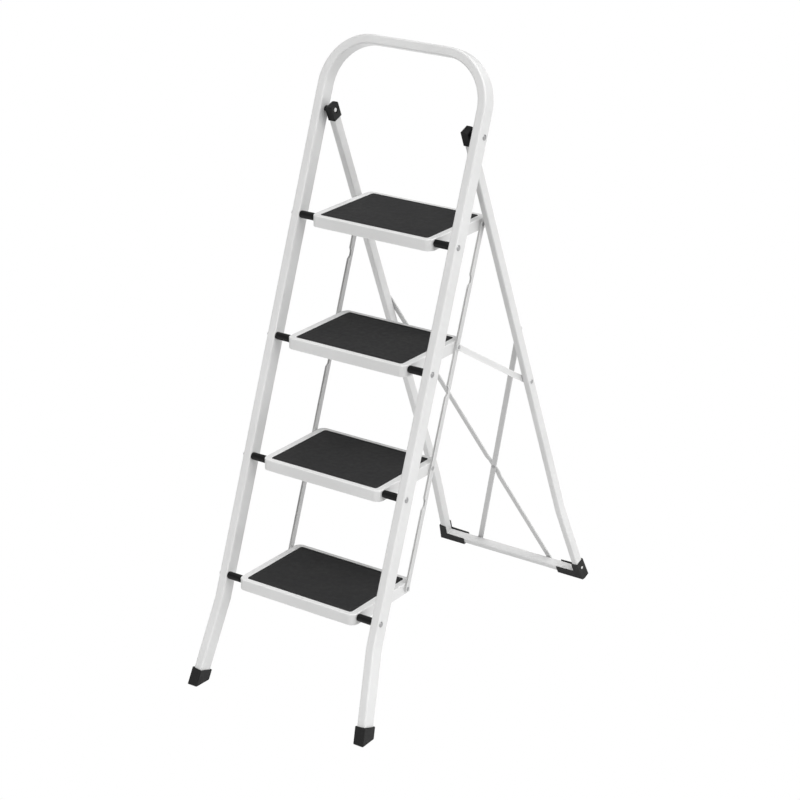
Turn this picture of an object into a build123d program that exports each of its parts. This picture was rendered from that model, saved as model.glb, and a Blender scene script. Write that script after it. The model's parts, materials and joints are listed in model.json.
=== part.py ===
"""Folding four-step platform ladder: bent tube frames, pressed steps, side rods and link bars.

Axes: +X to the climber's right, +Y away from the climber, +Z up. Millimetres.
Every piece is laid out from the axle of the lowest step, then the whole is centred over the floor.
"""
import os
from math import atan2, cos, degrees, hypot, radians, sin, tan

from build123d import *

os.makedirs("parts", exist_ok=True)

# ---- Stance -------------------------------------------------------------------------------
step_count = 4
first_axle_height = 229.7     # lowest axle above the floor
step_pitch = 257.0            # axle to axle, along the front frame
front_lean = 20.3             # front frame, degrees back from upright
rear_lean = 22.0              # rear frame, degrees from upright
hinge_below_top = 164.2       # hinge below the top of the handle, along the front frame
hinge_back = 11.9             # hinge behind the axle line, square to the front frame

# ---- Front frame ----------------------------------------------------------------------------
front_width = 412.0           # over the legs
front_tube_w, front_tube_d = 20.0, 34.0
front_tube_r = 4.0
tube_wall = 1.2
axle_behind_face = 8.4        # axle line behind the tube's front face
handle_up = 1159.0            # top of the handle, along the front frame
handle_radius = 105.0         # centre line of the top bends
front_flare_at = -52.0        # where the legs turn outward, along the front frame
front_flare = 6.1
front_flare_radius = 130.0

# ---- Rear frame -------------------------------------------------------------------------------
hinge_spacer = 10.0           # side space between front and rear legs at the hinge
rear_splay = 0.0026           # sideways spread per unit length
rear_tube_w, rear_tube_d = 15.0, 22.0
rear_tube_r = 3.0
rear_top = 11.0               # tube above the hinge
rear_flare_up = 208.5         # where the legs turn outward, above the sole along the frame
rear_flare = 4.2
rear_flare_radius = 120.0
sole_trim = 1.0724            # sole of the corner feet short of the floor along the frame's middle
foot_beyond = 22.5            # outside of the corner feet beyond the legs' width at the hinge
corner_wall = 1.6
foot_hole_r, foot_hole_up = 3.6, 30.0    # fixing hole in the outer cheek, above the sole
crossbar_w = 13.0
crossbar_up = 13.5            # crossbar centre above the sole

# ---- Steps --------------------------------------------------------------------------------------
sleeve_length = 36.0          # side space between step and front leg
step_front, step_back = -16.0, 192.5   # from the axle
rim_top, skirt_bottom = 9.0, -15.5
deck_under = 5.9
sheet = 1.2
step_corner = 10.0
mat_thick = 2.0
mat_side, mat_fore, mat_aft = 15.5, 11.5, 10.0    # border of bare step round the mat
pivot_in, pivot_drop = 25.5, 3.0    # rod rivet from the step's back edge, and below the axle
linked_step = step_count - 1        # its rod rivets also carry the link bars

# ---- Hardware -----------------------------------------------------------------------------------
axle_r = 4.0
head_r, head_h = 6.0, 2.2
sleeve_r = 8.0
running = 0.05                # radial clearance of a shaft in its hole
gap = 0.3                     # side clearance between moving faces
rod_w, rod_depth = 12.5, 5.0
rod_sheet = 1.2
rivet_r = 2.5
small_head_r, small_head_h = 4.5, 1.6
notch_below = {4: 118.0, 3: 95.0, 2: 76.0}
notch_length, notch_depth = 24.0, 5.0
link_w, link_thick = 12.5, 2.5
link_leg_at = 651.0           # link rivet below the hinge, along the rear leg
brace_w, brace_thick = 12.5, 2.5
brace_top_at = 510.0
brace_foot_in = 78.5          # brace feet inside the legs' width at the hinge

# ---- Placing ------------------------------------------------------------------------------------
a, b = radians(front_lean), radians(rear_lean)
beyond = 1500.0               # reach of cutting bodies, past every piece


def on_front(p, q):
    """(y, z) of a point p up the front frame and q behind its axle line."""
    return (p * sin(a) + q * cos(a), first_axle_height + p * cos(a) - q * sin(a))


axle_yz = {k: on_front((k - 1) * step_pitch, 0) for k in range(1, step_count + 1)}
hinge_up = handle_up - hinge_below_top
hinge_yz = on_front(hinge_up, hinge_back)
front_plane = Plane(origin=(0, 0, first_axle_height), x_dir=(1, 0, 0), z_dir=(0, -cos(a), sin(a)))
rear_plane = Plane(origin=(0, *hinge_yz), x_dir=(1, 0, 0), z_dir=(0, -cos(b), -sin(b)))
half_front = front_width / 2
front_inner = half_front - front_tube_w
front_q = front_tube_d / 2 - axle_behind_face
step_side = front_inner - sleeve_length
rear_width = 2 * (front_inner - hinge_spacer)
rear_foot_x = rear_width / 2 + foot_beyond
rear_sole_at = hinge_yz[1] / cos(b) - sole_trim    # below the hinge, along the frame
rear_flare_at = rear_sole_at - rear_flare_up
crossbar_at = rear_sole_at - crossbar_up
brace_foot_x = rear_width / 2 - brace_foot_in
mat_width = 2 * (step_side - mat_side)
mat_front, mat_back = step_front + mat_fore, step_back - mat_aft
rod_pivot = (step_back - pivot_in, -pivot_drop)
floor_along = -first_axle_height / cos(a)          # the floor, along the front frame


def rear_x(c):
    """Half width over the straight part of the rear legs, c below the hinge."""
    return rear_width / 2 + rear_splay * c


# ---- Shape helpers ------------------------------------------------------------------------------
def bent_path(points, radii):
    """Lines through flat points joined by tangent arcs; a radius of 0 leaves a corner sharp."""
    pts = [Vector(*p) for p in points]
    edges, last = [], pts[0]
    for before, corner, after, r in zip(pts, pts[1:], pts[2:], radii):
        u, v = (corner - before).normalized(), (after - corner).normalized()
        turn = radians(u.get_angle(v))
        cut = r * tan(turn / 2)
        start, end = corner - u * cut, corner + v * cut
        edges.append(Line(last, start))
        if r:
            toward = (v - u).normalized()
            centre = corner + toward * (r / cos(turn / 2))
            edges.append(ThreePointArc(start, centre - toward * r, end))
        last = end
    edges.append(Line(last, pts[-1]))
    return Wire(edges)


def swept(path, width, depth, radius):
    """Rounded bar of the given width (in the path's plane) and depth along a path."""
    start = Plane(origin=path @ 0, x_dir=Vector(0, 0, 1).cross(path % 0), z_dir=path % 0)
    return sweep(start * RectangleRounded(width, depth, radius), path=path)


def across(radius, x0, x1, y, z):
    """Round bar lying along X."""
    return Plane(origin=(x0, y, z), z_dir=(1, 0, 0)) * Cylinder(
        radius, x1 - x0, align=(Align.CENTER, Align.CENTER, Align.MIN))


def rivet_head(x, y, z, out, radius=head_r, height=head_h):
    """Domed head seated at x; out is +1 or -1, the side it stands out to."""
    head = Cylinder(radius, height, align=(Align.CENTER, Align.CENTER, Align.MIN))
    head = fillet(head.faces().sort_by(Axis.Z)[-1].edges(), height * 0.8)
    return Plane(origin=(x, y, z), z_dir=(out, 0, 0)) * head


def block(x0, x1, y0, y1, z0, z1):
    return Pos((x0 + x1) / 2, (y0 + y1) / 2, (z0 + z1) / 2) * Box(x1 - x0, y1 - y0, z1 - z0)


def rounded_block(x0, x1, y0, y1, z0, z1, r):
    """Block with rounded upright edges."""
    plan = Pos((x0 + x1) / 2, (y0 + y1) / 2, z0) * RectangleRounded(x1 - x0, y1 - y0, r)
    return extrude(plan, z1 - z0)


def strip_plan(start, end, r0, r1):
    """Flat outline of a strip whose ends are rounded about two points."""
    (x0, y0), (x1, y1) = start, end
    turn, length = degrees(atan2(y1 - y0, x1 - x0)), hypot(x1 - x0, y1 - y0)
    body = Polygon((0, -r0), (length, -r1), (length, r1), (0, r0), align=None)
    return Pos(x0, y0) * Rot(0, 0, turn) * (body + Circle(r0) + Pos(length, 0) * Circle(r1))


def mirrored(shape):
    return mirror(shape, about=Plane.YZ)


parts = {}


def pair(name, right):
    parts[f"{name}_right"] = right
    parts[f"{name}_left"] = mirrored(right)


floor_cut = block(-beyond, beyond, -beyond, beyond, -beyond, 0)


def above_floor(shape, height):
    return shape - Pos(0, 0, height) * floor_cut


# ---- Front frame: one bent tube, handle included ----------------------------------------------
reach = floor_along - 45.0
leg_x = half_front - front_tube_w / 2
foot_x = leg_x + (front_flare_at - reach) * tan(radians(front_flare))
top = handle_up - front_tube_w / 2
front_path = bent_path(
    [(foot_x, reach), (leg_x, front_flare_at), (leg_x, top), (-leg_x, top),
     (-leg_x, front_flare_at), (-foot_x, reach)],
    [front_flare_radius, handle_radius, handle_radius, front_flare_radius])
foot_sole = 3.0


def front_bar(grow, radius):
    bar = swept(front_path, front_tube_w + 2 * grow, front_tube_d + 2 * grow, radius)
    return front_plane.location * Pos(0, 0, -front_q) * bar


front_frame = front_bar(0, front_tube_r) - front_bar(-tube_wall, front_tube_r - tube_wall)
front_frame = above_floor(front_frame, foot_sole)
for y, z in [*axle_yz.values(), hinge_yz]:
    front_frame -= across(axle_r + running, -half_front - 5, half_front + 5, y, z)
parts["front_frame"] = front_frame

# Feet: square-topped shoes over the leg ends, cut level underneath
shoe_wall = 2.5
shoe_up = floor_along + 34.0
lower = bent_path([(foot_x, reach), (leg_x, front_flare_at)], [])
along = Plane(origin=lower @ 0, x_dir=Vector(0, 0, 1).cross(lower % 0), z_dir=lower % 0)
shoe_length = (shoe_up - reach) / cos(radians(front_flare))
shoe = extrude(along * RectangleRounded(front_tube_w + 2 * shoe_wall,
                                        front_tube_d + 2 * shoe_wall, 2.5), shoe_length)
socket = extrude(along * RectangleRounded(front_tube_w, front_tube_d, 2.8), shoe_length)
place = front_plane.location * Pos(0, 0, -front_q)
shoe = above_floor(place * shoe, 0) - above_floor(place * socket, foot_sole)
pair("front_foot", shoe)

# ---- Steps: pressed pans with a recessed mat ----------------------------------------------------
outer = rounded_block(-step_side, step_side, step_front, step_back, skirt_bottom, rim_top, step_corner)
outer = fillet(outer.faces().sort_by(Axis.Z)[-1].edges(), 2.0)
wall = step_side - sheet
hollow = rounded_block(-wall, wall, step_front + sheet, step_back - sheet,
                       skirt_bottom - 1, deck_under, step_corner - sheet)
bead = rounded_block(-wall, wall, step_front + sheet, step_back - sheet,
                     deck_under, rim_top - sheet, step_corner - sheet)
bead -= rounded_block(-mat_width / 2 - 1.7, mat_width / 2 + 1.7, mat_front - 1.7, mat_back + 1.7,
                      deck_under, rim_top, 7)
well = rounded_block(-mat_width / 2 - gap, mat_width / 2 + gap, mat_front - gap, mat_back + gap,
                     deck_under + sheet, rim_top + 1, 6)
pan = outer - hollow - bead - well
pan -= across(axle_r + running, -half_front, half_front, 0, 0)
pan -= across(rivet_r + running, -half_front, half_front, *rod_pivot)
mat = rounded_block(-mat_width / 2, mat_width / 2, mat_front, mat_back,
                    deck_under + sheet, deck_under + sheet + mat_thick, 6)
for k, (y, z) in axle_yz.items():
    parts[f"step_{k}"] = Pos(0, y, z) * pan
    parts[f"mat_{k}"] = Pos(0, y, z) * mat

# ---- Axles with riveted ends and spacer sleeves ---------------------------------------------------
for k, (y, z) in axle_yz.items():
    rod = across(axle_r, -half_front - 0.1, half_front + 0.1, y, z)
    rod += rivet_head(half_front, y, z, 1) + rivet_head(-half_front, y, z, -1)
    parts[f"axle_{k}"] = rod
    sleeve = across(sleeve_r, step_side + gap, front_inner, y, z)
    sleeve -= across(axle_r + running, step_side, front_inner + 1, y, z)
    pair(f"sleeve_{k}", sleeve)

# ---- Rear frame: one bent tube with a crossbar at the floor ----------------------------------------
flare_x = rear_x(rear_flare_at) - rear_tube_w / 2
end_x = flare_x + (crossbar_at - rear_flare_at) * tan(radians(rear_flare))
rear_leg_path = bent_path([(rear_width / 2 - rear_tube_w / 2, rear_top), (flare_x, -rear_flare_at),
                           (end_x, -crossbar_at)], [rear_flare_radius])


def rear_bar(grow, radius):
    leg = swept(rear_leg_path, rear_tube_w + 2 * grow, rear_tube_d + 2 * grow, radius)
    bar_path = bent_path([(-end_x - 6, -crossbar_at), (end_x + 6, -crossbar_at)], [])
    return leg + mirrored(leg) + swept(bar_path, crossbar_w + 2 * grow, rear_tube_d + 2 * grow, radius)


rear_frame = rear_bar(0, rear_tube_r) - rear_bar(-tube_wall, rear_tube_r - tube_wall)
rear_frame = rear_plane.location * rear_frame
rear_frame -= across(axle_r + running, -half_front, half_front, *hinge_yz)
link_leg_yz = (hinge_yz[0] + link_leg_at * sin(b), hinge_yz[1] - link_leg_at * cos(b))
rear_frame -= across(rivet_r + running, -half_front, half_front, *link_leg_yz)

# Corner feet: plates before and behind the corner of leg and crossbar, joined round its outside
shoe_d = rear_tube_d + 2 * corner_wall
outline = Polygon((rear_foot_x - 67, -rear_sole_at), (rear_foot_x, -rear_sole_at),
                  (rear_foot_x - 6.5, -rear_sole_at + 48), (end_x - 10.5, -rear_sole_at + 46),
                  (end_x - 8.5, -rear_sole_at + 23.5), (rear_foot_x - 70, -rear_sole_at + 22),
                  align=None)
shoe = Pos(0, 0, -shoe_d / 2) * extrude(fillet(outline.vertices(), 1.0), shoe_d)
bar_under = crossbar_at + crossbar_w / 2
leg_side = end_x + rear_tube_w / 2 / cos(radians(rear_flare))
side_slope = tan(radians(rear_flare))
corner = Polygon((leg_side + (bar_under - crossbar_at) * side_slope, -bar_under),
                 (leg_side - 90 * side_slope, 90 - crossbar_at),
                 (60, 90 - crossbar_at), (60, -bar_under), align=None)
shoe -= Pos(0, 0, -rear_tube_d / 2) * extrude(corner, rear_tube_d)
shoe -= Pos(end_x + 12, foot_hole_up - rear_sole_at, 0) * Rot(0, 90, 0) * Cylinder(foot_hole_r, 30)
pair("rear_foot", above_floor(rear_plane.location * shoe, 0))

# ---- Cross braces on the back of the rear frame ----------------------------------------------------
brace_top_x = rear_x(brace_top_at) - rear_tube_w / 2
brace_start, brace_end = (brace_top_x, -brace_top_at), (-brace_foot_x, -crossbar_at)
brace_run = hypot(brace_top_x + brace_foot_x, crossbar_at - brace_top_at)
brace_turn = degrees(atan2(-crossbar_at + brace_top_at, -brace_foot_x - brace_top_x))
cross_at = brace_run * brace_top_x / (brace_top_x + brace_foot_x)
back_face = rear_tube_d / 2


def brace(raised):
    """Flat bar; the raised one steps over the other where they cross. Face away from the climber."""
    lift = brace_thick + 0.05 if raised else 0.0
    s0, s1, s2, s3 = (cross_at + d for d in (-30, -18, 18, 30))
    side = [(-brace_w / 2, 0), (s0, 0), (s1, lift), (s2, lift), (s3, 0), (brace_run + brace_w / 2, 0)]
    if not raised:
        side = [side[0], side[-1]]
    edge = side + [(s, d + brace_thick) for s, d in reversed(side)]
    bar = Plane.XZ * Polygon(*edge, align=None)
    bar = extrude(bar, brace_w / 2, both=True)
    plan = strip_plan((0, 0), (brace_run, 0), brace_w / 2, brace_w / 2)
    bar &= extrude(plan, 40, both=True)
    for s in (0, cross_at, brace_run):
        bar -= Pos(s, 0, 0) * Cylinder(rivet_r + running, 40)
    lay = Pos(brace_top_x, -brace_top_at, 0) * Rot(0, 0, brace_turn)
    return lay * bar


def on_back(shape):
    """From flat work with +Z outward to the back face of the rear frame."""
    turned = mirror(shape, about=Plane.XY)
    return rear_plane.location * Pos(0, 0, -back_face) * turned


parts["brace_right_down"] = on_back(brace(False))
parts["brace_left_down"] = on_back(mirrored(brace(True)))
blind = 4.0
holes = [(x, y) for x in (1, -1) for x, y in ((x * brace_top_x, -brace_top_at),
                                             (x * brace_foot_x, -crossbar_at))]
studs = []
for x, y in holes:
    shank = Pos(x, y, -blind) * Cylinder(rivet_r, blind + brace_thick,
                                         align=(Align.CENTER, Align.CENTER, Align.MIN))
    head = Pos(x, y, brace_thick) * Rot(0, -90, 0) * rivet_head(0, 0, 0, 1, small_head_r, small_head_h)
    studs.append(shank + head)
    rear_frame -= on_back(Pos(x, y, 0) * Cylinder(rivet_r + running, 2 * blind))
centre = (0, -brace_top_at - cross_at * (crossbar_at - brace_top_at) / brace_run)
twin = 2 * brace_thick + 0.05
shank = Pos(*centre, 0) * Cylinder(rivet_r, twin, align=(Align.CENTER, Align.CENTER, Align.MIN))
head = Rot(0, -90, 0) * rivet_head(0, 0, 0, 1, small_head_r, small_head_h)
tail = Rot(0, 90, 0) * rivet_head(0, 0, 0, 1, small_head_r, small_head_h)
studs.append(shank + Pos(*centre, twin) * head + Pos(*centre, 0) * tail)
parts["brace_rivets"] = Compound(children=[on_back(s) for s in studs])
parts["rear_frame"] = rear_frame

# ---- Hinge: moulded caps on the rear legs, each with a spacer boss, and a riveted pin -----------------
cap_wall, cap_top, cap_low = 1.5, 13.0, -21.0
boss_r, cap_hole_r = 6.3, 6.2
pin_end_r, pin_end_h = 5.0, 1.6
cap_x0 = rear_width / 2 - rear_tube_w - cap_wall
cap_x1 = rear_width / 2 + cap_wall
half_cap = rear_tube_d / 2 + cap_wall
cap = block(cap_x0, cap_x1, cap_low, cap_top, -half_cap, half_cap)
cap = fillet(cap.edges().filter_by(Axis.X).group_by(Axis.Y)[-1].sort_by(Axis.Z)[-1], 10.0)
cap = fillet(cap.edges().filter_by(Axis.X).group_by(Axis.Y)[-1].sort_by(Axis.Z)[0], 3.0)
cap = fillet(cap.edges().filter_by(Axis.Y), 1.0)
top_way = bent_path([(rear_width / 2 - rear_tube_w / 2, rear_top), (flare_x, -rear_flare_at)], [])
cap -= swept(top_way, rear_tube_w, rear_tube_d, rear_tube_r - 1)
cap = rear_plane.location * cap
boss_end = front_inner - gap
boss = across(boss_r, cap_x1 - 0.5, boss_end, *hinge_yz)
cap = cap + (boss - rear_plane.location * swept(top_way, rear_tube_w, rear_tube_d, rear_tube_r - 1))
cap -= across(cap_hole_r, cap_x0 - 1, cap_x0 + cap_wall, *hinge_yz)
cap -= across(axle_r + running, cap_x0 - 1, front_inner, *hinge_yz)
pair("hinge_cap", cap)
pin_x0 = cap_x0 + cap_wall - 0.2
pin = across(axle_r, pin_x0, half_front + 0.1, *hinge_yz) + rivet_head(half_front, *hinge_yz, 1)
pin += rivet_head(pin_x0, *hinge_yz, -1, pin_end_r, pin_end_h)
pair("hinge_pin", pin)

# ---- Side rods: shallow channels that keep the steps level, clear of the sleeves at their notches ------
rod_p = [(k - 1) * step_pitch + rod_pivot[0] * sin(a) + rod_pivot[1] * cos(a)
         for k in range(1, step_count + 1)]
rod_q = rod_pivot[0] * cos(a) - rod_pivot[1] * sin(a)
end = rod_w / 2
rod_x0 = step_side + gap
rod_x1 = rod_x0 + rod_depth
plan = strip_plan((rod_p[0], 0), (rod_p[-1], 0), end, end)
rod = extrude(plan, rod_depth)
rod -= Pos(0, 0, -1) * extrude(strip_plan((rod_p[0] - 20, 0), (rod_p[-1] + 20, 0), end - rod_sheet,
                                          end - rod_sheet), rod_depth - rod_sheet + 1)
for k, below in notch_below.items():
    middle = rod_p[k - 1] - below
    cut = Polygon((middle - notch_length / 2, end + 1), (middle + notch_length / 2, end + 1),
                  (middle + notch_length / 2 - 7, end - notch_depth),
                  (middle - notch_length / 2 + 7, end - notch_depth), align=None)
    rod -= extrude(cut, rod_depth)
for p in rod_p:
    rod -= Pos(p, 0, 0) * Cylinder(rivet_r + running, 20)
rod_plane = Plane(origin=(rod_x0, *on_front(0, rod_q)), x_dir=(0, sin(a), cos(a)), z_dir=(1, 0, 0))
pair("side_rod", rod_plane.location * rod)
rivets = []
for k, (y, z) in axle_yz.items():
    y, z = y + rod_pivot[0], z + rod_pivot[1]
    rivet = across(rivet_r, wall - 0.1, rod_x1, y, z)
    rivet += rivet_head(wall - 0.1, y, z, -1, small_head_r, small_head_h)
    if k != linked_step:
        rivet += rivet_head(rod_x1, y, z, 1, small_head_r, small_head_h)
    rivets += [rivet, mirrored(rivet)]
parts["side_rod_rivets"] = Compound(children=rivets)

# ---- Link bars: from the third step's rod rivets to the rear legs, set outward at the leg --------------
link_from = tuple(u + v for u, v in zip(axle_yz[linked_step], rod_pivot))
link_run = hypot(link_leg_yz[0] - link_from[0], link_leg_yz[1] - link_from[1])
link_turn = atan2(link_leg_yz[1] - link_from[1], link_leg_yz[0] - link_from[0])
link_x0 = rod_x1 + gap
link_x1 = link_x0 + link_thick
plate_x1 = rear_x(link_leg_at) - rear_tube_w - gap
shift = plate_x1 - link_x1
side = [(-8, 0), (link_run - 52, 0), (link_run - 24, shift), (link_run + 8, shift)]
edge = side + [(s, d + link_thick) for s, d in reversed(side)]
bar = extrude(Plane.XZ * Polygon(*edge, align=None), link_w, both=True)
bar &= extrude(strip_plan((0, 0), (link_run, 0), link_w / 2, link_w / 2), 60, both=True)
for s in (0, link_run):
    bar -= Pos(s, 0, 0) * Cylinder(rivet_r + running, 60)
link_plane = Plane(origin=(link_x0, *link_from), x_dir=(0, cos(link_turn), sin(link_turn)),
                   z_dir=(1, 0, 0))
pair("link_bar", link_plane.location * bar)
stud = across(rivet_r, link_x0, link_x1 + 0.1, *link_from)
pair("link_tip_rivet", stud + rivet_head(link_x1, *link_from, 1, small_head_r, small_head_h))
leg_x1 = rear_x(link_leg_at)
stud = across(rivet_r, plate_x1 - link_thick - 0.1, leg_x1 + 0.1, *link_leg_yz)
stud += rivet_head(plate_x1 - link_thick, *link_leg_yz, -1, small_head_r, small_head_h)
stud += rivet_head(leg_x1 + 0.1, *link_leg_yz, 1, small_head_r, small_head_h)
pair("link_leg_rivet", stud)

# ---- Centre over the floor and write --------------------------------------------------------------------
span = Compound(children=[s for shape in parts.values() for s in shape.solids()]).bounding_box()
shift_y = -(span.min.Y + span.max.Y) / 2
for name, shape in parts.items():
    export_step(Pos(0, shift_y, 0) * shape, f"parts/{name}.step")
print(len(parts), "nodes", "shift", round(shift_y, 4), "size", span.size)
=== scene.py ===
import json
import math
import bmesh
import bpy
import numpy as np
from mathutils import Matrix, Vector


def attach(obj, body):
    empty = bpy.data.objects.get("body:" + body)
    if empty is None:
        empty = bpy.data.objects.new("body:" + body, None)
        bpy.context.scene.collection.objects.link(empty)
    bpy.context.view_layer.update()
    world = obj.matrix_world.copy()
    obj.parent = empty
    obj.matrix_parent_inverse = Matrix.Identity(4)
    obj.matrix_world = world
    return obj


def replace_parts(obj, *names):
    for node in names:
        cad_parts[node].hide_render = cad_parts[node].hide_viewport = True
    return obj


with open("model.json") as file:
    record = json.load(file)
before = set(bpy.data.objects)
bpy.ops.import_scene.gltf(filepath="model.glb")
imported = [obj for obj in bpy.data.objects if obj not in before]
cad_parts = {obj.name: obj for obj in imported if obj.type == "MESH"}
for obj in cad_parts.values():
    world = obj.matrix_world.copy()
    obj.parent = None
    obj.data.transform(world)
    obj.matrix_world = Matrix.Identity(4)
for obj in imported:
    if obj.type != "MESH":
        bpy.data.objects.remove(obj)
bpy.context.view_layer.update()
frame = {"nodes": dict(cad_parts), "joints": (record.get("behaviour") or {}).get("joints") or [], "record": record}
nodes = frame["nodes"]
jointAt = {j["name"]: np.array(j["pos_m"]) for j in frame["joints"]}
slotOf = {part["node"]: part["material_slot"] for part in frame["record"]["subparts"]}
bodyOf = {name: body for body, held in frame["record"]["behaviour"]["bodies"].items() for name in held}
stepCount = 4
mm = 0.001

# places read from the frame: axles, hinge, and the leans of the two frames
axleAt = {k: jointAt[f"step_{k}_fold"] for k in range(1, stepCount + 1)}
hingeAt = jointAt["rear_fold"]
linkLegAt = jointAt["link_fold"]
frontUp = (axleAt[4] - axleAt[1]) / np.linalg.norm(axleAt[4] - axleAt[1])
frontBack = np.array([0, frontUp[2], -frontUp[1]])
rearDown = (linkLegAt - hingeAt) / np.linalg.norm(linkLegAt - hingeAt)
rearBack = np.array([0, -rearDown[2], rearDown[1]])
sideways = np.array([1.0, 0, 0])
rodPivot = jointAt["side_rods_swing"] - axleAt[4]
print("frame loaded")


view = {"azimuth": 35.186, "elevation": 21.967, "place": (2.6546, -3.77574, 2.4086), "lens": 105.32,
        "sensor": 36, "farthest": 60}
studio = {
    # broad suns: (azimuth, elevation), strength, angular size
    "suns": {"keyLight": ((40, 60), 1.49, 42), "sideLight": ((100, 28), 1.48, 50),
             "topLight": ((0, 90), 1.3, 60), "frontLight": ((20, 65), 0.36, 20),
             "fillLight": ((-40, 20), 0.30, 50), "backLight": ((180, 35), 0.5, 50)},
    "lampAway": 6, "horizon": 0.12, "zenith": 0.12,
    "floorTone": 0.35, "floorGlow": 0.63, "floorSize": 40,
}


def fromAbove(azimuth, elevation):
    # unit vector towards an azimuth, where 0 is -Y and 90 is +X, and an elevation
    turn, rise = math.radians(azimuth), math.radians(elevation)
    return Vector((math.sin(turn) * math.cos(rise), -math.cos(turn) * math.cos(rise), math.sin(rise)))


def softSun(name, where, strength, angle):
    # a sun seen as a wide disc, so its shadows are soft; it shines from an azimuth and elevation
    lamp = bpy.data.lights.new(name, "SUN")
    lamp.energy, lamp.angle = strength, math.radians(angle)
    holder = bpy.data.objects.new(name, lamp)
    holder.location = fromAbove(*where) * studio["lampAway"]
    holder.rotation_euler = fromAbove(*where).to_track_quat("Z", "Y").to_euler()
    bpy.context.scene.collection.objects.link(holder)


def setStudio():
    # camera, suns, and a sky whose strength runs from the horizon's to the zenith's with height
    lens = bpy.data.cameras.new("camera")
    lens.lens, lens.sensor_width, lens.clip_end = view["lens"], view["sensor"], view["farthest"]
    camera = bpy.data.objects.new("camera", lens)
    camera.location = view["place"]
    camera.rotation_euler = (math.radians(90 - view["elevation"]), 0, math.radians(view["azimuth"]))
    bpy.context.scene.collection.objects.link(camera)
    bpy.context.scene.camera = camera
    for name, (where, strength, angle) in studio["suns"].items():
        softSun(name, where, strength, angle)
    sky = bpy.data.worlds.new("studio")
    sky.use_nodes = True
    tree = sky.node_tree
    coord, split = tree.nodes.new("ShaderNodeTexCoord"), tree.nodes.new("ShaderNodeSeparateXYZ")
    rise = tree.nodes.new("ShaderNodeMapRange")
    rise.inputs["To Min"].default_value = studio["horizon"]
    rise.inputs["To Max"].default_value = studio["zenith"]
    tree.links.new(coord.outputs["Generated"], split.inputs[0])
    tree.links.new(split.outputs["Z"], rise.inputs["Value"])
    soft, plain = tree.nodes["Background"], tree.nodes.new("ShaderNodeBackground")
    soft.inputs["Color"].default_value = plain.inputs["Color"].default_value = (1, 1, 1, 1)
    tree.links.new(rise.outputs["Result"], soft.inputs["Strength"])
    # the backdrop itself is plain white, while the light it gives falls off towards the horizon
    path, either = tree.nodes.new("ShaderNodeLightPath"), tree.nodes.new("ShaderNodeMixShader")
    tree.links.new(path.outputs["Is Camera Ray"], either.inputs[0])
    tree.links.new(soft.outputs[0], either.inputs[1])
    tree.links.new(plain.outputs[0], either.inputs[2])
    tree.links.new(either.outputs[0], tree.nodes["World Output"].inputs["Surface"])
    bpy.context.scene.world = sky
    bpy.context.scene.view_settings.view_transform = "Standard"


setStudio()
print("studio set")


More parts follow.
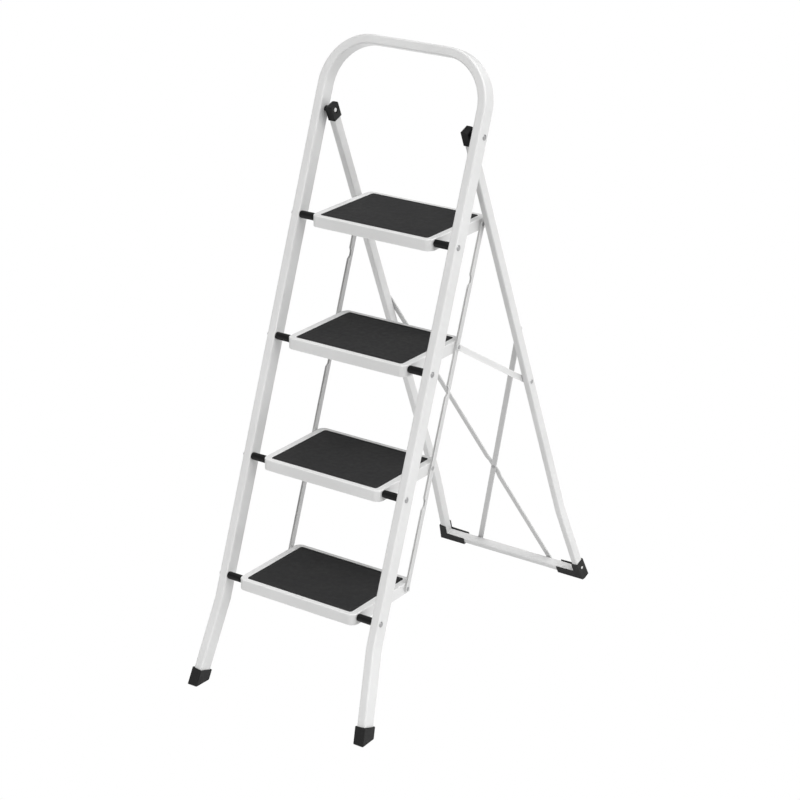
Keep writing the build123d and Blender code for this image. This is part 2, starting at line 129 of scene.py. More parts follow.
class Finish:
    # a material's node tree, with short calls for the nodes used here
    def __init__(self, name):
        self.stuff = bpy.data.materials.new(name)
        self.stuff.use_nodes = True
        self.tree = self.stuff.node_tree
        self.shader = self.tree.nodes["Principled BSDF"]
        self.coord = self.tree.nodes.new("ShaderNodeTexCoord")

    def node(self, kind, **values):
        # a shader node of that kind with those settings
        made = self.tree.nodes.new("ShaderNode" + kind)
        for key, value in values.items():
            setattr(made, key, value)
        return made

    def link(self, source, target):
        # the source drives the target
        self.tree.links.new(source, target)

    def noise(self, scale, detail, stretch=None):
        # fractal noise of the piece's own coordinates, drawn out by the stretch
        made = self.node("TexNoise")
        made.inputs["Scale"].default_value = scale
        made.inputs["Detail"].default_value = detail
        if stretch:
            place = self.node("Mapping")
            place.inputs["Scale"].default_value = stretch
            self.link(self.coord.outputs["Object"], place.inputs["Vector"])
            self.link(place.outputs["Vector"], made.inputs["Vector"])
        else:
            self.link(self.coord.outputs["Object"], made.inputs["Vector"])
        return made.outputs["Fac"]

    def ramp(self, source, low, high, toLow=0.0, toHigh=1.0):
        # a straight line from toLow at low to toHigh at high, level beyond them
        made = self.node("MapRange")
        made.inputs["From Min"].default_value = low
        made.inputs["From Max"].default_value = high
        made.inputs["To Min"].default_value = toLow
        made.inputs["To Max"].default_value = toHigh
        self.link(source, made.inputs["Value"])
        return made.outputs["Result"]

    def product(self, first, second):
        # one value times the other
        made = self.node("Math", operation="MULTIPLY")
        self.link(first, made.inputs[0])
        self.link(second, made.inputs[1])
        return made.outputs[0]

    def mix(self, amount, first, second):
        # the first colour where the amount is 0 and the second where it is 1
        made = self.node("Mix", data_type="RGBA")
        for socket, value in ((made.inputs["A"], first), (made.inputs["B"], second)):
            if hasattr(value, "is_linked") or hasattr(value, "links"):
                self.link(value, socket)
            else:
                socket.default_value = (*value, 1)
        self.link(amount, made.inputs["Factor"])
        return made.outputs["Result"]

    def edges(self, radius):
        # 1 along edges tighter than the radius, 0 on flats: how far the rounded normal leans away
        bevel, plain = self.node("Bevel", samples=4), self.node("NewGeometry")
        bevel.inputs["Radius"].default_value = radius
        dot = self.node("VectorMath", operation="DOT_PRODUCT")
        self.link(bevel.outputs["Normal"], dot.inputs[0])
        self.link(plain.outputs["Normal"], dot.inputs[1])
        flat, tight = 0.995, 0.85
        return self.ramp(dot.outputs["Value"], flat, tight)

    def roughness(self, noise, span, stretch=None):
        # roughness wandering between the two ends of its span
        least, most = 0.3, 0.7   # the noise hardly goes past these
        value = self.ramp(self.noise(*noise, stretch), least, most, *span)
        self.link(value, self.shader.inputs["Roughness"])

    def fixed(self, **values):
        # even values straight on the shader, the underscores in their names standing for spaces
        for name, value in values.items():
            self.shader.inputs[name.replace("_", " ")].default_value = value

    def bump(self, height, strength, distance, after=None):
        # the normal tipped by the slope of a height, on top of an earlier bump
        made = self.node("Bump")
        made.inputs["Strength"].default_value = strength
        made.inputs["Distance"].default_value = distance
        self.link(height, made.inputs["Height"])
        if after:
            self.link(after, made.inputs["Normal"])
        return made.outputs["Normal"]


# In a finish, a noise pair is (fineness, detail), a From pair is where patches start and where they are
# full, a Wide value is how wide an edge is in metres, and a bump pair is (strength, depth in metres).
def powderCoat(name="whitePowderCoat", tone=1.0):
    # cloudy white, with a painted highlight along every edge, scuffed through along edges in places, over fine
    # orange peel
    look = {"colour": (0.65, 0.65, 0.648), "shade": (0.60, 0.60, 0.596), "cloudNoise": (7.0, 4.0),
            "cloudFrom": (0.3, 0.75), "edge": (0.80, 0.80, 0.795), "highlightWide": 0.003,
            "scuff": (0.40, 0.40, 0.39), "scuffWide": 0.001, "scuffNoise": (60.0, 6.0),
            "scuffFrom": (0.58, 0.72), "rough": (0.34, 0.46), "roughNoise": (35.0, 3.0),
            "peelNoise": (900.0, 2.0), "peelBump": (0.10, 0.0004), "coat": 0.12, "coatRough": 0.3}
    f = Finish(name)
    toned = {part: np.array(look[part]) * tone for part in ("colour", "shade", "edge")}
    cloud = f.ramp(f.noise(*look["cloudNoise"]), *look["cloudFrom"])
    # painted highlight: the lighter edge colour is laid along every edge, standing in for light caught on the
    # rounded edges
    wearAndHighlight = f.mix(f.edges(look["highlightWide"]), f.mix(cloud, toned["colour"], toned["shade"]), toned["edge"])
    wear = f.product(f.edges(look["scuffWide"]), f.ramp(f.noise(*look["scuffNoise"]), *look["scuffFrom"]))
    f.link(f.mix(wear, wearAndHighlight, look["scuff"]), f.shader.inputs["Base Color"])
    f.roughness(look["roughNoise"], look["rough"])
    f.link(f.bump(f.noise(*look["peelNoise"]), *look["peelBump"]), f.shader.inputs["Normal"])
    f.fixed(Coat_Weight=look["coat"], Coat_Roughness=look["coatRough"])
    return f.stuff


def matRubber():
    # matt black rubber, dusty in patches and pebbled all over; lighter grey along its edges and bead, partly
    # rubbed wear in patches and partly a painted highlight along every edge
    look = {"colour": (0.0145, 0.0145, 0.015), "dust": (0.018, 0.018, 0.018), "dustNoise": (16.0, 6.0),
            "dustFrom": (0.45, 0.8), "wearAndHighlight": (0.042, 0.042, 0.042), "wearAndHighlightWide": 0.0014,
            "rubbedNoise": (50.0, 5.0), "rubbedFrom": (0.25, 0.6), "highlightLeast": 0.35,
            "rough": (0.66, 0.8), "roughNoise": (90.0, 4.0), "pebbleSize": 520.0, "pebbleBump": (0.3, 0.0004),
            "grainNoise": (1800.0, 2.0), "grainBump": (0.15, 0.0002), "shine": 0.28}
    f = Finish("treadRubber")
    # painted highlight: every edge and the bead get at least the least share of the lighter grey, and patches of
    # rubbed wear add more
    patches = f.ramp(f.noise(*look["rubbedNoise"]), *look["rubbedFrom"], look["highlightLeast"])
    wearAndHighlight = f.product(f.edges(look["wearAndHighlightWide"]), patches)
    dusty = f.mix(f.ramp(f.noise(*look["dustNoise"]), *look["dustFrom"]), look["colour"], look["dust"])
    f.link(f.mix(wearAndHighlight, dusty, look["wearAndHighlight"]), f.shader.inputs["Base Color"])
    f.roughness(look["roughNoise"], look["rough"])
    cells = f.node("TexVoronoi", feature="SMOOTH_F1")
    cells.inputs["Scale"].default_value = look["pebbleSize"]
    f.link(f.coord.outputs["Object"], cells.inputs["Vector"])
    pebble = f.bump(cells.outputs["Distance"], *look["pebbleBump"])
    f.link(f.bump(f.noise(*look["grainNoise"]), *look["grainBump"], pebble), f.shader.inputs["Normal"])
    f.fixed(Specular_IOR_Level=look["shine"])
    return f.stuff


def mouldedBlack(name, look):
    # moulded rubber or plastic: edges rubbed lighter in places, over a fine grain
    f = Finish(name)
    patches = f.ramp(f.noise(*look["rubbedNoise"]), *look["rubbedFrom"])
    wearAndHighlight = f.product(f.edges(look["wearAndHighlightWide"]), patches)
    f.link(f.mix(wearAndHighlight, look["colour"], look["wearAndHighlight"]), f.shader.inputs["Base Color"])
    f.roughness(look["roughNoise"], look["rough"])
    f.link(f.bump(f.noise(*look["grainNoise"]), *look["grainBump"]), f.shader.inputs["Normal"])
    f.fixed(Specular_IOR_Level=look["shine"])
    return f.stuff


footRubber = {"colour": (0.0085, 0.0085, 0.0085), "wearAndHighlight": (0.016, 0.016, 0.016), "wearAndHighlightWide": 0.0016,
              "rubbedNoise": (140.0, 5.0), "rubbedFrom": (0.42, 0.7), "rough": (0.5, 0.64),
              "roughNoise": (70.0, 4.0), "grainNoise": (1300.0, 3.0), "grainBump": (0.2, 0.0003),
              "shine": 0.25}
blackPlastic = {"colour": (0.0038, 0.0038, 0.004), "wearAndHighlight": (0.01, 0.01, 0.01), "wearAndHighlightWide": 0.001,
                "rubbedNoise": (120.0, 4.0), "rubbedFrom": (0.4, 0.7), "rough": (0.36, 0.48),
                "roughNoise": (60.0, 4.0), "grainNoise": (1700.0, 2.0), "grainBump": (0.12, 0.0002),
                "shine": 0.2}


def zincPlate():
    # mottled zinc, its roughness drawn out one way
    look = {"colour": (0.42, 0.42, 0.425), "dull": (0.30, 0.30, 0.30), "dullNoise": (240.0, 5.0),
            "dullFrom": (0.35, 0.7), "rough": (0.3, 0.5), "roughNoise": (500.0, 3.0),
            "drawn": (1.0, 0.15, 1.0), "grainNoise": (1500.0, 3.0), "grainBump": (0.1, 0.0001),
            "metallic": 0.9}
    f = Finish("zincSteel")
    mottle = f.ramp(f.noise(*look["dullNoise"]), *look["dullFrom"])
    f.link(f.mix(mottle, look["colour"], look["dull"]), f.shader.inputs["Base Color"])
    f.roughness(look["roughNoise"], look["rough"], look["drawn"])
    f.link(f.bump(f.noise(*look["grainNoise"]), *look["grainBump"]), f.shader.inputs["Normal"])
    f.fixed(Metallic=look["metallic"])
    return f.stuff


def floorPaper():
    # pale paper, lit from below like a product table, which keeps shadows faint
    look = {"tone": studio["floorTone"], "darker": 0.01, "mottleNoise": (3.0, 2.0), "mottleFrom": (0.3, 0.7),
            "rough": 0.95, "shine": 0.05}
    f = Finish("paleFloor")
    mottle = f.ramp(f.noise(*look["mottleNoise"]), *look["mottleFrom"])
    f.link(f.mix(mottle, (look["tone"],) * 3, (look["tone"] - look["darker"],) * 3),
           f.shader.inputs["Base Color"])
    f.fixed(Roughness=look["rough"], Specular_IOR_Level=look["shine"], Emission_Color=(1, 1, 1, 1),
            Emission_Strength=studio["floorGlow"])
    return f.stuff


finishes = {"white_paint": powderCoat(), "tread_rubber": matRubber(),
            "black_rubber": mouldedBlack("footRubber", footRubber),
            "black_plastic": mouldedBlack("blackPlastic", blackPlastic), "zinc_steel": zincPlate()}
# painted shade: a darker copy of the white paint stands in for the shade on the side rods and braces
shadedBarPaint = powderCoat("shadedBarPowderCoat", 0.85)   # side rods and braces, a darker copy of the white paint
for name, thing in nodes.items():
    thing.data.materials.clear()
    thing.data.materials.append(finishes[slotOf[name]])
print("materials made")


# a shell is (points, faces), closed and facing outward
def outward(points, faces):
    # turns every face over where the volume they enclose, a sum of six times each fan triangle's
    # tetrahedron from the origin, is negative
    volume = 0.0
    for size in {len(face) for face in faces}:
        ring = points[np.array([face for face in faces if len(face) == size])]
        volume += np.einsum("fi,fti->", ring[:, 0], np.cross(ring[:, 1:-1], ring[:, 2:]))
    return points, faces if volume > 0 else [tuple(reversed(face)) for face in faces]


def shell(rows, wrap=False):
    # quads between neighbouring rows of equally many points round a closed loop; the ends are capped,
    # or the last row joins the first
    rows = np.asarray(rows)
    count, around = rows.shape[:2]
    index = np.arange(count * around).reshape(count, around)
    lower = index if wrap else index[:-1]
    upper = np.roll(index, -1, axis=0) if wrap else index[1:]
    quads = np.stack([lower, np.roll(lower, -1, axis=1), np.roll(upper, -1, axis=1), upper], axis=-1)
    faces = [tuple(quad) for quad in quads.reshape(-1, 4).tolist()]
    if not wrap:
        faces += [tuple(reversed(index[0].tolist())), tuple(index[-1].tolist())]
    return outward(rows.reshape(-1, 3), faces)


def roundedLoop(width, depth, radius, perCorner=5, perSide=0):
    # a rounded rectangle about its centre: four quarter circles joined by straight sides,
    # with perSide more points spread along each side
    turn = np.linspace(0, math.pi / 2, perCorner + 1)
    quarter = np.stack([np.cos(turn), np.sin(turn)], axis=1) * radius
    spin = np.array([[0, -1], [1, 0]])
    loop = []
    for side, (sx, sy) in enumerate(((1, 1), (-1, 1), (-1, -1), (1, -1))):
        arc = quarter @ np.linalg.matrix_power(spin, side).T
        loop.append(arc + (sx * (width / 2 - radius), sy * (depth / 2 - radius)))
    if not perSide:
        return np.concatenate(loop)
    spread = np.linspace(0, 1, perSide + 2)[1:-1, None]
    joined = []
    for arc, following in zip(loop, loop[1:] + loop[:1]):
        joined += [arc, arc[-1] + (following[0] - arc[-1]) * spread]
    return np.concatenate(joined)


def unit(vector):
    # the vector over its own length
    return np.asarray(vector) / np.linalg.norm(vector)


def bentLine(corners, radii, degreesEach=4.5):
    # straight runs joined by tangent arcs: places along the line, and the way along at each
    corners = [np.array(c, float) for c in corners]
    places, ways = [corners[0]], [unit(corners[1] - corners[0])]
    for before, corner, after, radius in zip(corners, corners[1:], corners[2:], radii):
        here, there = unit(corner - before), unit(after - corner)
        turn = math.acos(min(1.0, float(here @ there)))
        side = unit(there - here * (here @ there))
        centre = corner - here * radius * math.tan(turn / 2) + side * radius
        for angle in np.linspace(0, turn, max(4, round(math.degrees(turn) / degreesEach)) + 1):
            places.append(centre + radius * (here * math.sin(angle) - side * math.cos(angle)))
            ways.append(here * math.cos(angle) + side * math.sin(angle))
    places.append(corners[-1])
    ways.append(ways[-1])
    return np.array(places), np.array(ways)


def onFront(x, up, back):
    # across, up the front frame from the lowest axle, and behind its axle line, in mm
    return (np.array([0, axleAt[1][1], axleAt[1][2]]) + np.multiply.outer(x, sideways) * mm
            + np.multiply.outer(up, frontUp) * mm + np.multiply.outer(back, frontBack) * mm)


def onRear(x, down, back):
    # across, down the rear frame from the hinge, and behind its middle plane, in mm
    return (np.array([0, hingeAt[1], hingeAt[2]]) + np.multiply.outer(x, sideways) * mm
            + np.multiply.outer(down, rearDown) * mm + np.multiply.outer(back, rearBack) * mm)


def sweptBar(layer, line, section, back=0.0, flip=1):
    # the section carried along the line: its first axis lies in the line's plane, square to the way
    # along, and its second stands out of that plane; flip is -1 for a line drawn upward on the rear
    # frame, which is measured downward
    places, ways = line
    across = np.stack([ways[:, 1], -ways[:, 0]], axis=1)
    flat = places[:, None, :] + across[:, None, :] * section[None, :, :1]
    out = np.broadcast_to(section[:, 1] + back, flat.shape[:2])
    return layer(flat[..., 0], flip * flat[..., 1], out)


def slideTo(row, way, height):
    # each point moved along the way until it is at that height over the floor
    return row + way * ((height - row[:, 2:]) / way[2])


def squareTo(axis):
    # two ways square to the axis and to each other, by cross products with a way no axis here runs along
    first = unit(np.cross(axis, (0.3, 0.2, 1.0)))
    return first, np.cross(axis, first)


def turned(centre, axis, profile, around=28):
    # a turned piece: each (distance along the axis, radius) pair in mm becomes a circle about the axis
    axis = unit(axis)
    first, second = squareTo(axis)
    turn = np.linspace(0, 2 * math.pi, around, endpoint=False)
    ring = np.outer(np.cos(turn), first) + np.outer(np.sin(turn), second)
    thinnest = 0.02   # a pole is a circle too small to see
    return [np.asarray(centre) + axis * s * mm + ring * max(r, thinnest) * mm for s, r in profile]


def domed(seat, out, radius, height):
    # a rivet head from its seat outward: short wall, dome, and the dimple the setting tool leaves
    shape = ((0, 0.97), (0.06, 1.0), (0.2, 1.0), (0.42, 0.965), (0.62, 0.88), (0.8, 0.75), (0.93, 0.58),
             (1.0, 0.42), (0.985, 0.34), (0.86, 0.27), (0.78, 0.14), (0.76, 0))
    return [(seat + out * s * height, r * radius) for s, r in shape]


def joinShells(name, shells, sharp=32):
    # one mesh of several closed shells, smooth but for edges sharper than that many degrees
    stack, faces, first = [], [], 0
    for points, some in shells:
        stack.append(points)
        faces += [tuple(i + first for i in face) for face in some]
        first += len(points)
    mesh = bpy.data.meshes.new(name)
    mesh.from_pydata(np.concatenate(stack).tolist(), [], faces)
    mesh.update()
    mesh.validate()
    mesh.shade_smooth()
    mesh.set_sharp_from_angle(angle=math.radians(sharp))
    return mesh


def dressPiece(name, mesh, body, slot, finish=None):
    # an object at the origin that wears its slot's finish and rides its body
    mesh.materials.clear()
    mesh.materials.append(finish or finishes[slot])
    piece = bpy.data.objects.new(name, mesh)
    bpy.context.scene.collection.objects.link(piece)
    even = piece.modifiers.new("evenNormals", "WEIGHTED_NORMAL")
    even.keep_sharp, even.weight = True, 90
    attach(piece, body)
    return piece


def makePiece(name, shells, node, sharp=32, finish=None):
    # a piece that stands for a node of the frame
    piece = dressPiece(name, joinShells(name, shells, sharp), bodyOf[node], slotOf[node], finish)
    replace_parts(piece, node)


def extraPiece(name, shells, body, slot):
    # a small piece with no node of its own
    dressPiece(name, joinShells(name, shells), body, slot)


floorAlong = -axleAt[1][2] / frontUp[2] / mm
frontTube = {"width": 20, "depth": 34, "corner": 4, "legX": 196, "back": 8.6, "top": 1149, "topRadius": 105,
             "flareAt": -52, "flare": 6.1, "flareRadius": 130, "pastFloor": 45, "endAbove": 3.2}
tubeEnd = floorAlong - frontTube["pastFloor"]
tubeFoot = frontTube["legX"] + (frontTube["flareAt"] - tubeEnd) * math.tan(math.radians(frontTube["flare"]))
legWay = unit((frontTube["legX"] - tubeFoot, frontTube["flareAt"] - tubeEnd))
legRise = {side: side * sideways * legWay[0] + frontUp * legWay[1] for side in (1, -1)}


def bentTube():
    # the rounded section carried up one leg, round the hoop and down the other, its ends cut level
    t = frontTube
    line = bentLine([(tubeFoot, tubeEnd), (t["legX"], t["flareAt"]), (t["legX"], t["top"]),
                     (-t["legX"], t["top"]), (-t["legX"], t["flareAt"]), (-tubeFoot, tubeEnd)],
                    [t["flareRadius"], t["topRadius"], t["topRadius"], t["flareRadius"]])
    rows = sweptBar(onFront, line, roundedLoop(t["width"], t["depth"], t["corner"], perCorner=6), t["back"])
    rows[0] = slideTo(rows[0], legRise[1], t["endAbove"] * mm)
    rows[-1] = slideTo(rows[-1], legRise[-1], t["endAbove"] * mm)
    return [shell(rows)]


shoe = {"wall": 2.5, "corner": 2.5, "leastCorner": 1.2, "rise": 34.0, "lipIn": 2.6, "soleIn": 3.3}


def frontShoe(side):
    # rings round the leg's line: up the outside from the sole, in over the lip and down inside it
    t, wall = frontTube, shoe["wall"]
    length = (floorAlong + shoe["rise"] - tubeEnd) / legWay[1]
    anywhere = 60   # the rings at the sole start there and are slid down to their heights

    def ring(inset, along):
        # the shoe's outline square to the leg, drawn in by the inset
        loop = roundedLoop(t["width"] + 2 * (wall - inset), t["depth"] + 2 * (wall - inset),
                           max(shoe["corner"] - inset * 0.4, shoe["leastCorner"]))
        x = tubeFoot + legWay[0] * along + loop[:, 0] * legWay[1]
        up = tubeEnd + legWay[1] * along - loop[:, 0] * legWay[0]
        return onFront(side * x, up, t["back"] + loop[:, 1])

    rows = [slideTo(ring(inset, anywhere), legRise[side], lift * mm)
            for inset, lift in ((1.1, 0), (0.45, 0.12), (0.12, 0.45), (0, 1.1))]
    rows += [ring(inset, length - short) for inset, short in
             ((0, 0.9), (0.06, 0.45), (0.3, 0.1), (0.8, 0), (1.9, 0), (2.25, 0.1), (shoe["lipIn"], 0.6))]
    rows.append(slideTo(ring(shoe["lipIn"], anywhere), legRise[side], shoe["soleIn"] * mm))
    return [shell(rows)]


makePiece("frontTube", bentTube(), "front_frame")
for side, word in ((1, "right"), (-1, "left")):
    makePiece(f"frontShoe_{word}", frontShoe(side), f"front_foot_{word}")
print("front frame made")

step = {"half": 150, "front": -16, "back": 192.5, "corner": 16, "top": 9, "bottom": -15.5, "sheet": 1.2,
        "edge": 2.0, "deckTop": 7.1, "deckUnder": 5.9, "plateIn": 30, "wellGap": 0.35}
mat = {"half": 134.5, "front": -4.5, "back": 182.5, "corner": 6, "low": 7.15, "top": 9.1,
       "beadAt": 4.2, "beadWide": 2.6, "beadHigh": 0.9}


def rowAround(box, inset, height, place):
    # a level rounded rectangle, drawn in from the box's outline, at a height over the axle
    width, depth = 2 * (box["half"] - inset), box["back"] - box["front"] - 2 * inset
    loop = roundedLoop(width, depth, max(box["corner"] - inset, 1.0), perCorner=7)
    x, y = loop[:, 0], loop[:, 1] + (box["back"] + box["front"]) / 2
    return np.stack([x, y, np.full(len(x), float(height))], axis=1) * mm + (0, place[1], place[2])


def pressedStep(place):
    # rounded rectangles from the skirt's lower edge up, over the rim in a quarter circle, down into the
    # mat's well, and back along the underside; the plate under the mat is a second shell
    s, edge = step, step["edge"]
    gap = s["wellGap"]
    well = dict(mat, half=mat["half"] + gap, front=mat["front"] - gap, back=mat["back"] + gap)
    rows = [rowAround(s, inset, s["bottom"] + up, place) for inset, up in ((0.45, 0), (0.12, 0.14), (0, 0.5))]
    rows += [rowAround(s, edge * (1 - math.cos(t)), s["top"] - edge + edge * math.sin(t), place)
             for t in np.linspace(0, math.pi / 2, 7)]
    rows += [rowAround(well, inset, height, place) for inset, height in
             ((-0.7, s["top"]), (-0.3, s["top"] - 0.08), (-0.08, s["top"] - 0.3), (0, s["top"] - 0.7),
              (0, s["deckTop"] + 0.3), (0.3, s["deckTop"]), (s["plateIn"], s["deckTop"]),
              (s["plateIn"], s["deckUnder"]), (-1.0, s["deckUnder"]), (-1.5, s["deckUnder"] + 0.5),
              (-1.7, s["top"] - 1.6))]
    sheet, top, bottom = s["sheet"], s["top"], s["bottom"]
    rows += [rowAround(s, inset, height, place) for inset, height in
             ((sheet + 1.0, top - 1.3), (sheet + 0.3, top - 1.8), (sheet, top - 2.6), (sheet, bottom + 0.5),
              (sheet - 0.12, bottom + 0.14), (sheet - 0.45, bottom))]
    plate = [rowAround(well, s["plateIn"] - 1, height, place) for height in (s["deckUnder"], s["deckTop"])]
    return [shell(rows, wrap=True), shell(plate)]


def treadMat(place):
    # rounded rectangles from the underside up the edge and in over a low bead
    m, low, top = mat, mat["low"], mat["top"]
    edge = [(0.3, low), (0, low + 0.3), (0, top - 0.8), (0.1, top - 0.35), (0.35, top - 0.1), (0.8, top)]
    bead = [(m["beadAt"] + m["beadWide"] * across, top + m["beadHigh"] * up) for across, up in
            ((0, 0), (0.2, 0.6), (0.35, 0.92), (0.5, 1), (0.65, 0.92), (0.8, 0.6), (1, 0))]
    inside = [(m["beadAt"] + m["beadWide"] + 2, top)]
    rows = [rowAround(m, inset, height, place) for inset, height in edge + bead + inside]
    return [shell(rows)]


sleeve = {"radius": 8.0, "bore": 4.1, "inner": 150.35, "outer": 185.95}
axle = {"radius": 3.95, "face": 206, "headRadius": 6, "headHeight": 2.2}


def spacer(side, place):
    # a ring with a raised middle between two grooves near its ends
    s, x0, x1, r = side, sleeve["inner"], sleeve["outer"], sleeve["radius"]
    half = [(0.5, sleeve["bore"]), (0, sleeve["bore"] + 0.4), (0, r - 1.3), (0.25, r - 0.6), (0.8, r - 0.35),
            (2.2, r - 0.35), (2.7, r)]
    profile = [(x0 + x, radius) for x, radius in half] + [(x1 - x, radius) for x, radius in reversed(half)]
    profile = [(s * x, radius) for x, radius in profile]
    return [shell(turned((0, place[1], place[2]), sideways, profile, around=40), wrap=True)]


def throughAxle(place):
    # a rod with a domed head at each end, turned about the axle line
    face, head, height = axle["face"], axle["headRadius"], axle["headHeight"]
    right = domed(face, 1, head, height)
    rod = [(-face, axle["radius"]), (face, axle["radius"])]
    profile = [(-x, r) for x, r in reversed(right)] + rod + right
    return [shell(turned((0, place[1], place[2]), sideways, profile, around=32))]


for k, place in axleAt.items():
    makePiece(f"pressedStep_{k}", pressedStep(place), f"step_{k}", sharp=40)
    makePiece(f"treadMat_{k}", treadMat(place), f"mat_{k}", sharp=40)
    makePiece(f"throughAxle_{k}", throughAxle(place), f"axle_{k}")
    for side, word in ((1, "right"), (-1, "left")):
        makePiece(f"spacer_{k}_{word}", spacer(side, place), f"sleeve_{k}_{word}")
print("steps made")

rearTube = {"width": 15, "depth": 22, "corner": 3, "topX": 168.5, "topUp": -8.5, "splay": 0.0026,
            "flareUp": 208.5, "flare": 4.2, "flareRadius": 120, "barUp": 13.5, "barWidth": 13, "barPast": 6,
            "soleTrim": 1.0724}
soleAt = hingeAt[2] / -rearDown[2] / mm - rearTube["soleTrim"]   # from the hinge down to the feet's soles


def rearTubes():
    # two legs that flare out near the floor, and the crossbar between them
    t = rearTube
    flareX = t["topX"] + t["splay"] * (soleAt - t["flareUp"])
    footX = flareX + (t["flareUp"] - t["barUp"]) * math.tan(math.radians(t["flare"]))
    barAt = soleAt - t["barUp"]
    shells = []
    for side in (1, -1):
        line = bentLine([(side * t["topX"], t["topUp"]), (side * flareX, t["flareUp"] - soleAt),
                         (side * footX, -barAt)], [t["flareRadius"]])
        leg = roundedLoop(t["width"], t["depth"], t["corner"])
        shells.append(shell(sweptBar(onRear, line, leg, flip=-1)))
    barEnd, slight = footX + t["barPast"], 1e-6   # the straight bar is drawn with a bend too slight to see
    line = bentLine([(-barEnd, -barAt), (0, -barAt), (barEnd, -barAt + slight)], [1.0])
    bar = roundedLoop(t["barWidth"], t["depth"], t["corner"])
    shells.append(shell(sweptBar(onRear, line, bar, flip=-1)))
    return shells


makePiece("rearTubes", rearTubes(), "rear_frame")

hingeCap = {"inner": 159.5, "outer": 176.6, "low": -21.0, "top": 12.6, "half": 12.6, "shoulder": 9.0,
            "fall": 4.4, "edge": 0.7, "corner": 1.2, "recess": 6.5, "recessDeep": 3.2, "boss": 6.3,
            "bossEnd": 185.7}


def capShell(side):
    # rows across the cap, from the recess round the pin, over the inner face and the sides,
    # whose top falls away towards the outside in a quarter ellipse, to the boss at the front leg
    c = hingeCap

    def outline(x, inset):
        # the cap's outline at x, drawn in by the inset
        past = max(0.0, x - (c["outer"] - c["shoulder"])) / c["shoulder"]
        top = c["top"] - c["fall"] * (1 - math.sqrt(1 - past ** 2))
        height = top - c["low"]
        loop = roundedLoop(2 * (c["half"] - inset), height - 2 * inset, c["corner"], perCorner=3, perSide=12)
        return loop + (0, (top + c["low"]) / 2)

    def place(x, loop):
        # a loop stood across the rear frame at x
        return onRear(np.full(len(loop), side * x), -loop[:, 1], -loop[:, 0])

    base = outline(c["inner"], 0)
    turn = np.arctan2(base[:, 1], base[:, 0])
    circle = np.stack([np.cos(turn), np.sin(turn)], axis=1)
    x0, x1, e, deep, wide = c["inner"], c["outer"], c["edge"], c["recessDeep"], c["recess"]
    rows = [place(x0 + dx, circle * r) for dx, r in
            ((deep, 0.05), (deep, wide - 0.4), (deep - 0.3, wide), (0.35, wide), (0.08, wide + 0.1),
             (0, wide + 0.4))]
    rows += [place(x0 + dx, outline(x0 + dx, inset)) for dx, inset in
             ((0, e), (0.1 * e, 0.4 * e), (0.4 * e, 0.1 * e), (e, 0))]
    rows += [place(x, outline(x, 0)) for x in x1 - c["shoulder"] * (1 - np.sin(np.linspace(0, 1.25, 9)))]
    rows += [place(x1 - 0.25, outline(x1 - 0.3, 0.25)), place(x1, outline(x1 - 0.3, 0.9))]
    boss, end = c["boss"], c["bossEnd"]
    rows += [place(x, circle * r) for x, r in
             ((x1, boss + 0.6), (x1 + 0.2, boss + 0.15), (x1 + 0.6, boss), (end - 0.6, boss),
              (end - 0.15, boss - 0.2), (end, boss - 0.6), (end, 0.05))]
    return [shell(rows)]


for side, word in ((1, "right"), (-1, "left")):
    makePiece(f"hingeCap_{word}", capShell(side), f"hinge_cap_{word}", sharp=36)

hingePin = {"inner": 163.2, "innerHead": (4.2, 0.8), "outer": 206, "outerHead": (6, 2.2), "radius": 3.95,
            "button": (4.4, 162.6, 160.2)}   # painted button over the inner head: radius, seat and tip
for side, word in ((1, "right"), (-1, "left")):
    h = hingePin
    inside = [(x, r) for x, r in reversed(domed(h["inner"], -1, *h["innerHead"]))]
    shank = [(h["inner"], h["radius"]), (h["outer"], h["radius"])]
    profile = inside + shank + domed(h["outer"], 1, *h["outerHead"])
    rows = turned((0, hingeAt[1], hingeAt[2]), sideways, [(side * x, r) for x, r in profile], around=32)
    makePiece(f"hingeRivet_{word}", [shell(rows)], f"hinge_pin_{word}")
    radius, seat, tip = h["button"]
    profile = [(seat, 0), (seat, radius - 0.3), (seat - 0.2, radius), (tip + 0.9, radius),
               (tip + 0.4, radius - 0.25), (tip + 0.1, radius - 0.8), (tip, radius - 1.6), (tip, 0)]
    rows = turned((0, hingeAt[1], hingeAt[2]), sideways, [(side * x, r) for x, r in profile], around=32)
    extraPiece(f"hingeButton_{word}", [shell(rows)], "front_frame", "white_paint")
print("rear frame made")

footButton = {"up": 30, "from": 191.2, "seat": 193.9, "tip": 194.8, "radius": 3.5}
for side, word in ((1, "right"), (-1, "left")):
    # painted rivet that fixes the corner foot to the leg, turned in the hole of the foot's outer cheek
    f, radius, seat = footButton, footButton["radius"], footButton["seat"]
    profile = [(f["from"], 0), (f["from"], radius), (seat, radius), (seat + 0.45, radius - 0.3),
               (seat + 0.8, radius - 1.1), (f["tip"], 1.2), (f["tip"], 0)]
    centre = onRear(np.array(0.0), np.array(soleAt - f["up"]), np.array(0.0))
    rows = turned(centre, sideways, [(side * x, r) for x, r in profile])
    extraPiece(f"footButton_{word}", [shell(rows)], "rear_frame", "white_paint")

soften = {"flatWithin": 0.4, "roundOver": 28, "segments": 2, "sharpOver": 40}   # angles in degrees


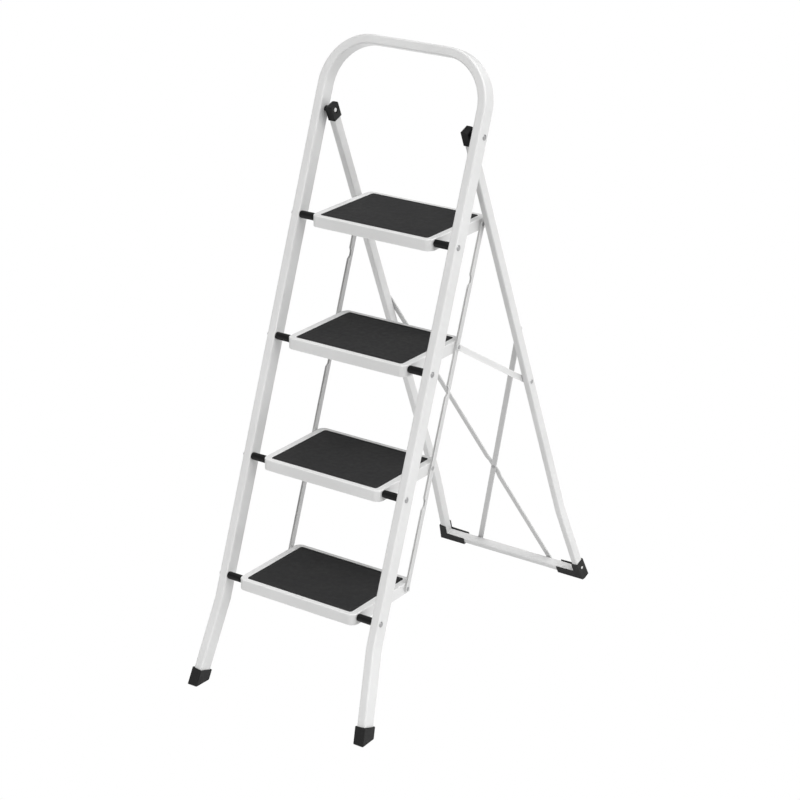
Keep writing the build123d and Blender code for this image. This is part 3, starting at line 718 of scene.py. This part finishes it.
def softened(name, node, width, finish=None):
    # the node's own shape, with its flat faces made whole and its sharp edges rounded by that width
    work = bmesh.new()
    work.from_mesh(nodes[node].data)
    bmesh.ops.remove_doubles(work, verts=work.verts, dist=1e-6)
    bmesh.ops.dissolve_limit(work, angle_limit=math.radians(soften["flatWithin"]), verts=work.verts,
                             edges=work.edges)
    leastTurn = math.radians(soften["roundOver"])
    sharp = [e for e in work.edges if len(e.link_faces) == 2 and e.calc_face_angle(0) > leastTurn]
    bmesh.ops.bevel(work, geom=sharp, offset=width * mm, offset_type="OFFSET", segments=soften["segments"],
                    profile=0.5, affect="EDGES", clamp_overlap=True)
    work.normal_update()
    mesh = bpy.data.meshes.new(name)
    work.to_mesh(mesh)
    work.free()
    mesh.shade_smooth()
    mesh.set_sharp_from_angle(angle=math.radians(soften["sharpOver"]))
    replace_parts(dressPiece(name, mesh, bodyOf[node], slotOf[node], finish), node)


sideRod = {"width": 12.5, "inner": 150.35, "outer": 155.3, "sheet": 1.2, "edge": 0.45, "channel": 2.2,
           "pitch": 257, "notches": {4: 118, 3: 95, 2: 76},   # each notch is that far below its step's pivot
           "notchLong": 24, "notchSlope": 7, "notchDeep": 5}


def rodShell(side):
    # a folded channel open to the front: its closed section is carried up the rod, and both flanges
    # are set back at the notches that clear the sleeves
    r = sideRod
    half, e, x0, x1 = r["width"] / 2, r["edge"], r["inner"], r["outer"]
    start, last = rodFoot, rodFoot + 3 * r["pitch"]
    ups = [start + half * math.sin(t) for t in np.linspace(-math.pi / 2, 0, 9)]
    slopeAt = (0, 0.06, 0.5, 0.94, 1)   # rows close to both ends of a slope keep its bends crisp
    for k in sorted(r["notches"]):
        middle = start + (k - 1) * r["pitch"] - r["notches"][k]
        flat, slope = r["notchLong"] / 2 - r["notchSlope"], r["notchSlope"]
        ups += [middle - flat - slope * (1 - t) for t in slopeAt]
        ups += [middle + flat + slope * t for t in slopeAt]
    ups += [last + half * math.sin(t) for t in np.linspace(0, math.pi / 2, 9)]
    rows = []
    for up in sorted(ups):
        past = max(start - up, up - last, 0)
        front = back = math.sqrt(max(half ** 2 - past ** 2, 0.2))
        for k, below in r["notches"].items():
            off = abs(up - (start + (k - 1) * r["pitch"] - below)) - (r["notchLong"] / 2 - r["notchSlope"])
            if off < r["notchSlope"]:
                front = half - r["notchDeep"] * min(1.0, 1 - off / r["notchSlope"])
        wall = min(r["sheet"], 0.3 * (front + back))
        inside, tip = max(-back + wall, front - r["channel"]), min(0.35, 0.1 * (front + back))
        section = [(x0, front - tip), (x0, -back + e), (x0 + e * 0.3, -back + e * 0.3), (x0 + e, -back),
                   (x1 - e, -back), (x1 - e * 0.3, -back + e * 0.3), (x1, -back + e), (x1, front - tip),
                   (x1 - 0.1, front - tip * 0.3), (x1 - 0.35, front), (x1 - wall + 0.35, front),
                   (x1 - wall + 0.1, front - tip * 0.3), (x1 - wall, front - tip), (x1 - wall, inside + 0.4),
                   (x1 - wall - 0.4, inside), (x0 + wall + 0.4, inside), (x0 + wall, inside + 0.4),
                   (x0 + wall, front - tip), (x0 + wall - 0.1, front - tip * 0.3), (x0 + wall - 0.35, front),
                   (x0 + 0.35, front), (x0 + 0.1, front - tip * 0.3)]
        section = np.array(section)
        rows.append(onFront(side * section[:, 0], np.full(len(section), up), rodBack - section[:, 1]))
    return [shell(rows)]


rodFoot, rodBack = float(rodPivot @ frontUp) / mm, float(rodPivot @ frontBack) / mm
for side, word in ((1, "right"), (-1, "left")):
    makePiece(f"sideRod_{word}", rodShell(side), f"side_rod_{word}", sharp=50, finish=shadedBarPaint)

for word in ("right", "left"):
    softened(f"cornerFoot_{word}", f"rear_foot_{word}", 0.4)
    softened(f"linkBar_{word}", f"link_bar_{word}", 0.5)
softened("brace_rightDown", "brace_right_down", 0.5, finish=shadedBarPaint)
softened("brace_leftDown", "brace_left_down", 0.5, finish=shadedBarPaint)

rivet = {"shank": 2.5, "head": (4.5, 1.6), "apart": 30, "endWithin": 1.5, "wideOver": 3.0}


def rivets(name, node, axis):
    # each rivet of the node turned again on its own axis: a shank, with a domed head at each end where
    # the node's end is wider than the shank
    r, (wide, high) = rivet, rivet["head"]
    axis = unit(axis)
    first, second = squareTo(axis)
    mesh, shells = nodes[node].data, []
    points = np.empty(len(mesh.vertices) * 3, np.float32)
    mesh.vertices.foreach_get("co", points)
    points = points.reshape(-1, 3).astype(float) / mm
    while len(points):
        near = np.linalg.norm(points - points[0], axis=1) < r["apart"]
        one, points = points[near], points[~near]
        along, across, over = one @ axis, one @ first, one @ second
        centre = first * (across.min() + across.max()) / 2 + second * (over.min() + over.max()) / 2
        reach = np.hypot(across - centre @ first, over - centre @ second)
        profile = []
        for end, out in ((along.min(), -1), (along.max(), 1)):
            headed = reach[abs(along - end) < r["endWithin"]].max() > r["wideOver"]
            seat = end - out * high
            head = [(seat, r["shank"])] + domed(seat, out, wide, high)
            profile += (head if headed else [(end, r["shank"]), (end, 0)])[::out]
        shells.append(shell(turned(centre * mm, axis, profile, around=24)))
    makePiece(name, shells, node)


rivets("braceRivets", "brace_rivets", rearBack)
rivets("rodRivets", "side_rod_rivets", sideways)
for word in ("right", "left"):
    rivets(f"linkTipRivet_{word}", f"link_tip_rivet_{word}", sideways)
    rivets(f"linkLegRivet_{word}", f"link_leg_rivet_{word}", sideways)
print("feet, bars and rivets made")


def layFloor():
    # a square sheet on the ground
    half = studio["floorSize"] / 2
    corners = [(-half, -half, 0), (half, -half, 0), (half, half, 0), (-half, half, 0)]
    sheet = bpy.data.meshes.new("studioFloor")
    sheet.from_pydata(corners, [], [(0, 1, 2, 3)])
    sheet.materials.append(floorPaper())
    floor = bpy.data.objects.new("studioFloor", sheet)
    bpy.context.scene.collection.objects.link(floor)
    # it lights the ladder while the camera sees the white backdrop, so folded feet below it still show
    floor.visible_camera = False


layFloor()
